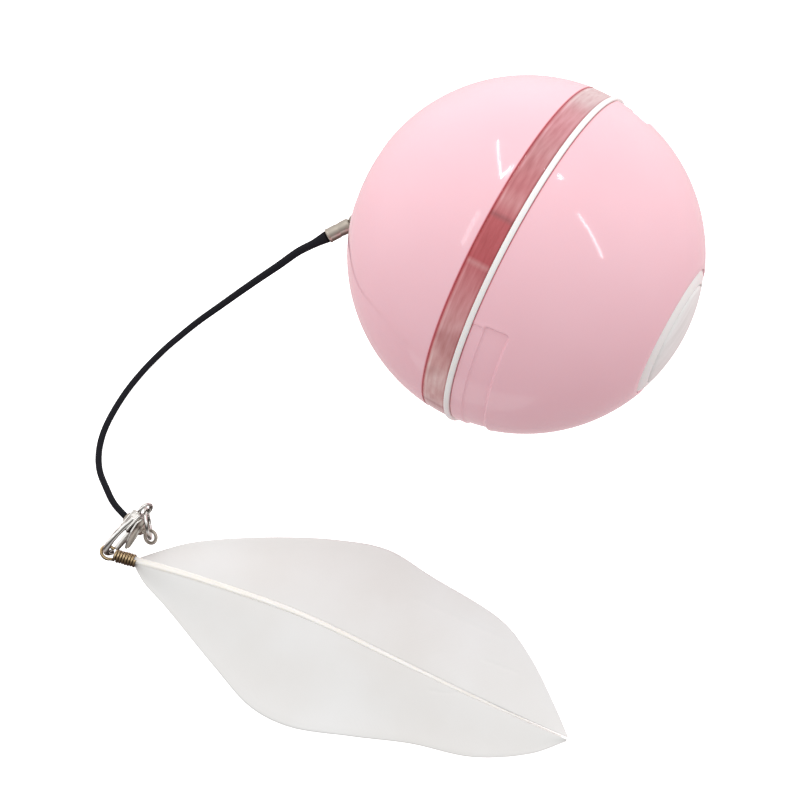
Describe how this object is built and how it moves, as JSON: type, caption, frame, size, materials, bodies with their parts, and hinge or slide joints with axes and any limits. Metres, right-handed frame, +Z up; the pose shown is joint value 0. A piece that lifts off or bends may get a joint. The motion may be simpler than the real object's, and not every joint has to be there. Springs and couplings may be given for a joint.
{
  "type": "self rolling cat ball",
  "caption": "Self rolling ball for cats: a geared motor pendulum turns a two part shell with a light window, and a feather trails on a cord from its axle.",
  "frame": {"origin": "on the floor under the middle of the ball, which stands on the edge of its white band", "axes": "+X along the axle towards the catnip lid, +Y to the back, away from the feather, +Z up"},
  "size_m": [0.1293, 0.1481, 0.0785],
  "materials": {
    "pink_gloss": "glossy, pale pink",
    "tinted_clear": "clear, tinted red",
    "white_gloss": "glossy, warm white",
    "grey_plastic": "moulded, light grey",
    "steel": "plain",
    "nickel": "satin nickel plate",
    "brass": "dull wire",
    "bronze": "sintered bronze",
    "acetal": "natural white",
    "cell_wrap": "plain blue sleeve",
    "board_green": "solder mask",
    "black_plastic": "moulded black",
    "led_clear": "clear epoxy",
    "waxed_cord": "round, waxed",
    "quill_ivory": "natural quill",
    "feather_white": "natural feather"
  },
  "bodies": {
    "chassis": {"axle": "steel", "left_collar": "steel", "right_collar": "steel", "chassis_frame": "grey_plastic", "gear_cover": "grey_plastic", "frame_screw_1": "steel", "frame_screw_2": "steel", "frame_screw_3": "steel", "gear_pin_a": "steel", "gear_pin_b": "steel", "motor_can": "steel", "motor_cap": "black_plastic", "motor_screw_1": "steel", "motor_screw_2": "steel", "battery": "cell_wrap", "counterweight": "steel", "weight_screw_1": "steel", "weight_screw_2": "steel", "circuit_board": "board_green", "board_screw_1": "steel", "board_screw_2": "steel", "usb_port": "steel", "power_switch": "black_plastic", "control_chip": "black_plastic", "led_1": "led_clear", "led_2": "led_clear", "led_3": "led_clear", "hitch_eye": "nickel", "hitch_link": "nickel", "upper_crimp": "nickel", "cord": "waxed_cord", "lower_crimp": "nickel", "clasp_ring": "nickel", "clasp_body": "nickel", "clasp_pin": "nickel", "feather_wire": "brass", "feather_quill": "quill_ivory", "feather_vane_back": "feather_white", "feather_vane_front": "feather_white"},
    "shell": {"left_shell": "pink_gloss", "light_window": "tinted_clear", "white_band": "white_gloss", "ring_gear": "acetal", "ring_screw_1": "steel", "ring_screw_2": "steel", "ring_screw_3": "steel", "hub_cap": "white_gloss", "hub_bush": "bronze"},
    "cover": {"right_shell": "pink_gloss", "cap_ring": "white_gloss", "catnip_cup": "white_gloss", "right_bush": "bronze"},
    "lid": {"catnip_lid": "white_gloss"},
    "rotor": {"motor_shaft": "steel", "motor_pinion": "brass"},
    "gear_a": {"reduction_gear_a": "acetal"},
    "gear_b": {"reduction_gear_b": "acetal"},
    "button": {"power_button": "white_gloss"},
    "lever": {"clasp_lever": "nickel"}
  },
  "joints": [
    {"name": "shell_roll", "type": "hinge", "parent": "chassis", "child": "shell", "pos_m": [0, 0, 0.03927], "axis": [1, 0, 0], "continuous": true},
    {"name": "cover_twist", "type": "hinge", "parent": "shell", "child": "cover", "pos_m": [0, 0, 0.03927], "axis": [1, 0, 0], "range_deg": [0, 20]},
    {"name": "lid_pull", "type": "slide", "parent": "cover", "child": "lid", "axis": [1, 0, 0], "range_m": [0, 0.02]},
    {"name": "gear_b_spin", "type": "hinge", "parent": "chassis", "child": "gear_b", "pos_m": [0, 0.02085, 0.02955], "axis": [1, 0, 0], "continuous": true},
    {"name": "gear_a_spin", "type": "hinge", "parent": "chassis", "child": "gear_a", "pos_m": [0, 0.01098, 0.02868], "axis": [1, 0, 0], "continuous": true},
    {"name": "rotor_spin", "type": "hinge", "parent": "chassis", "child": "rotor", "pos_m": [0, 0.00147, 0.02425], "axis": [1, 0, 0], "continuous": true},
    {"name": "power_press", "type": "slide", "parent": "chassis", "child": "button", "axis": [-1, 0, 0], "range_m": [0, 0.0005], "stiffness_N_per_m": 1500},
    {"name": "clasp_open", "type": "hinge", "parent": "chassis", "child": "lever", "pos_m": [-0.04871, -0.08735, 0.0051], "axis": [-0.9289, 0.3034, -0.2126], "range_deg": [0, 15], "stiffness_Nm_per_rad": 0.02}
  ],
  "couplings": [
    {"joint": "gear_b_spin", "follows": "shell_roll", "ratio": 5.6},
    {"joint": "gear_a_spin", "follows": "shell_roll", "ratio": -14.933},
    {"joint": "rotor_spin", "follows": "shell_roll", "ratio": 43.141}
  ]
}
